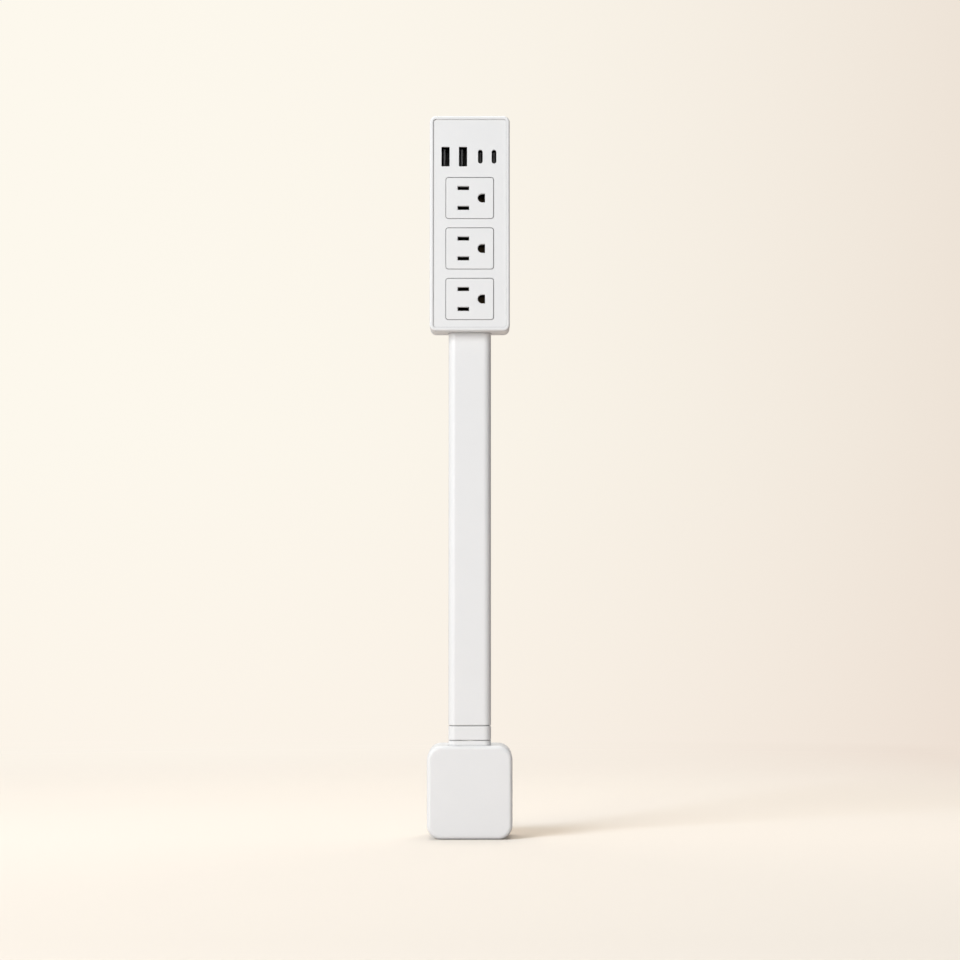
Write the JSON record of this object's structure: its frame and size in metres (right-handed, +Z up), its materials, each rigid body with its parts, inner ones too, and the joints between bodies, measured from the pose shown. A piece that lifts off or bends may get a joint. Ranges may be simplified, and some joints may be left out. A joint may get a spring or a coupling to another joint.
{
  "type": "outlet extender",
  "caption": "Wall outlet extender: square plug base, tall flat stem on a swivel neck, and an upright head with a column of mains outlets below a row of USB ports.",
  "frame": {"origin": "centre of the base's rear face, which lies against the wall", "axes": "+Z up along the stem, +Y out of the rear face into the wall, +X to the right seen from the front"},
  "size_m": [0.054, 0.0655, 0.458],
  "materials": {
    "housing_white": "satin moulded white ABS",
    "face_white": "satin moulded white nylon",
    "black_moulding": "matte black moulding",
    "fibre_board": "vulcanised fibre sheet",
    "contact_brass": "rolled brass",
    "plug_metal": "nickel-plated brass",
    "port_steel": "tinned folded steel",
    "port_insulator": "black liquid-crystal polymer",
    "circuit_board": "green solder mask",
    "ferrite": "ground ferrite",
    "winding_tape": "yellow polyester tape",
    "capacitor_sleeve": "shrink sleeve",
    "chip_resin": "moulding resin",
    "fuse_ceramic": "glazed ceramic tube",
    "bearing_nylon": "natural nylon",
    "fastener_steel": "zinc-plated steel",
    "line_insulation": "black insulation",
    "neutral_insulation": "white insulation",
    "ground_insulation": "green insulation"
  },
  "bodies": {
    "base": {"base_housing": "housing_white", "base_rear_cover": "housing_white", "blade_holder": "black_moulding", "line_blade": "plug_metal", "neutral_blade": "plug_metal", "ground_pin": "plug_metal", "blade_crimps": "contact_brass", "base_screws": "fastener_steel", "holder_screws": "fastener_steel", "swivel_bush": "bearing_nylon", "thrust_washer": "bearing_nylon"},
    "arm": {"front_housing": "housing_white", "back_cover": "housing_white", "receptacle_face_top": "face_white", "receptacle_face_middle": "face_white", "receptacle_face_bottom": "face_white", "contact_carrier": "black_moulding", "insulator_plate": "fibre_board", "line_bus_bar": "contact_brass", "neutral_bus_bar": "contact_brass", "ground_bus_bar": "contact_brass", "usb_a_shell_1": "port_steel", "usb_a_shell_2": "port_steel", "usb_c_shell_1": "port_steel", "usb_c_shell_2": "port_steel", "usb_a_tongue_1": "port_insulator", "usb_a_tongue_2": "port_insulator", "usb_c_tongue_1": "port_insulator", "usb_c_tongue_2": "port_insulator", "usb_board": "circuit_board", "transformer_core": "ferrite", "transformer_winding": "winding_tape", "bulk_capacitor": "capacitor_sleeve", "output_capacitor": "capacitor_sleeve", "board_chips": "chip_resin", "board_fuse": "fuse_ceramic", "stem_tube": "housing_white", "neck_collar": "housing_white", "spring_washer": "fastener_steel", "stop_washer": "fastener_steel", "retaining_nut": "fastener_steel", "line_wire": "line_insulation", "neutral_wire": "neutral_insulation", "ground_wire": "ground_insulation", "usb_line_feed": "line_insulation", "usb_neutral_feed": "neutral_insulation", "head_screws": "fastener_steel", "carrier_screws": "fastener_steel", "board_screws": "fastener_steel", "stem_screws": "fastener_steel"}
  },
  "joints": [
    {"name": "neck_swivel", "type": "hinge", "parent": "base", "child": "arm", "pos_m": [0, -0.028, 0.0328], "axis": [0, 0, 1], "range_deg": [-90, 90], "deforming": ["line_wire", "neutral_wire", "ground_wire"]}
  ]
}
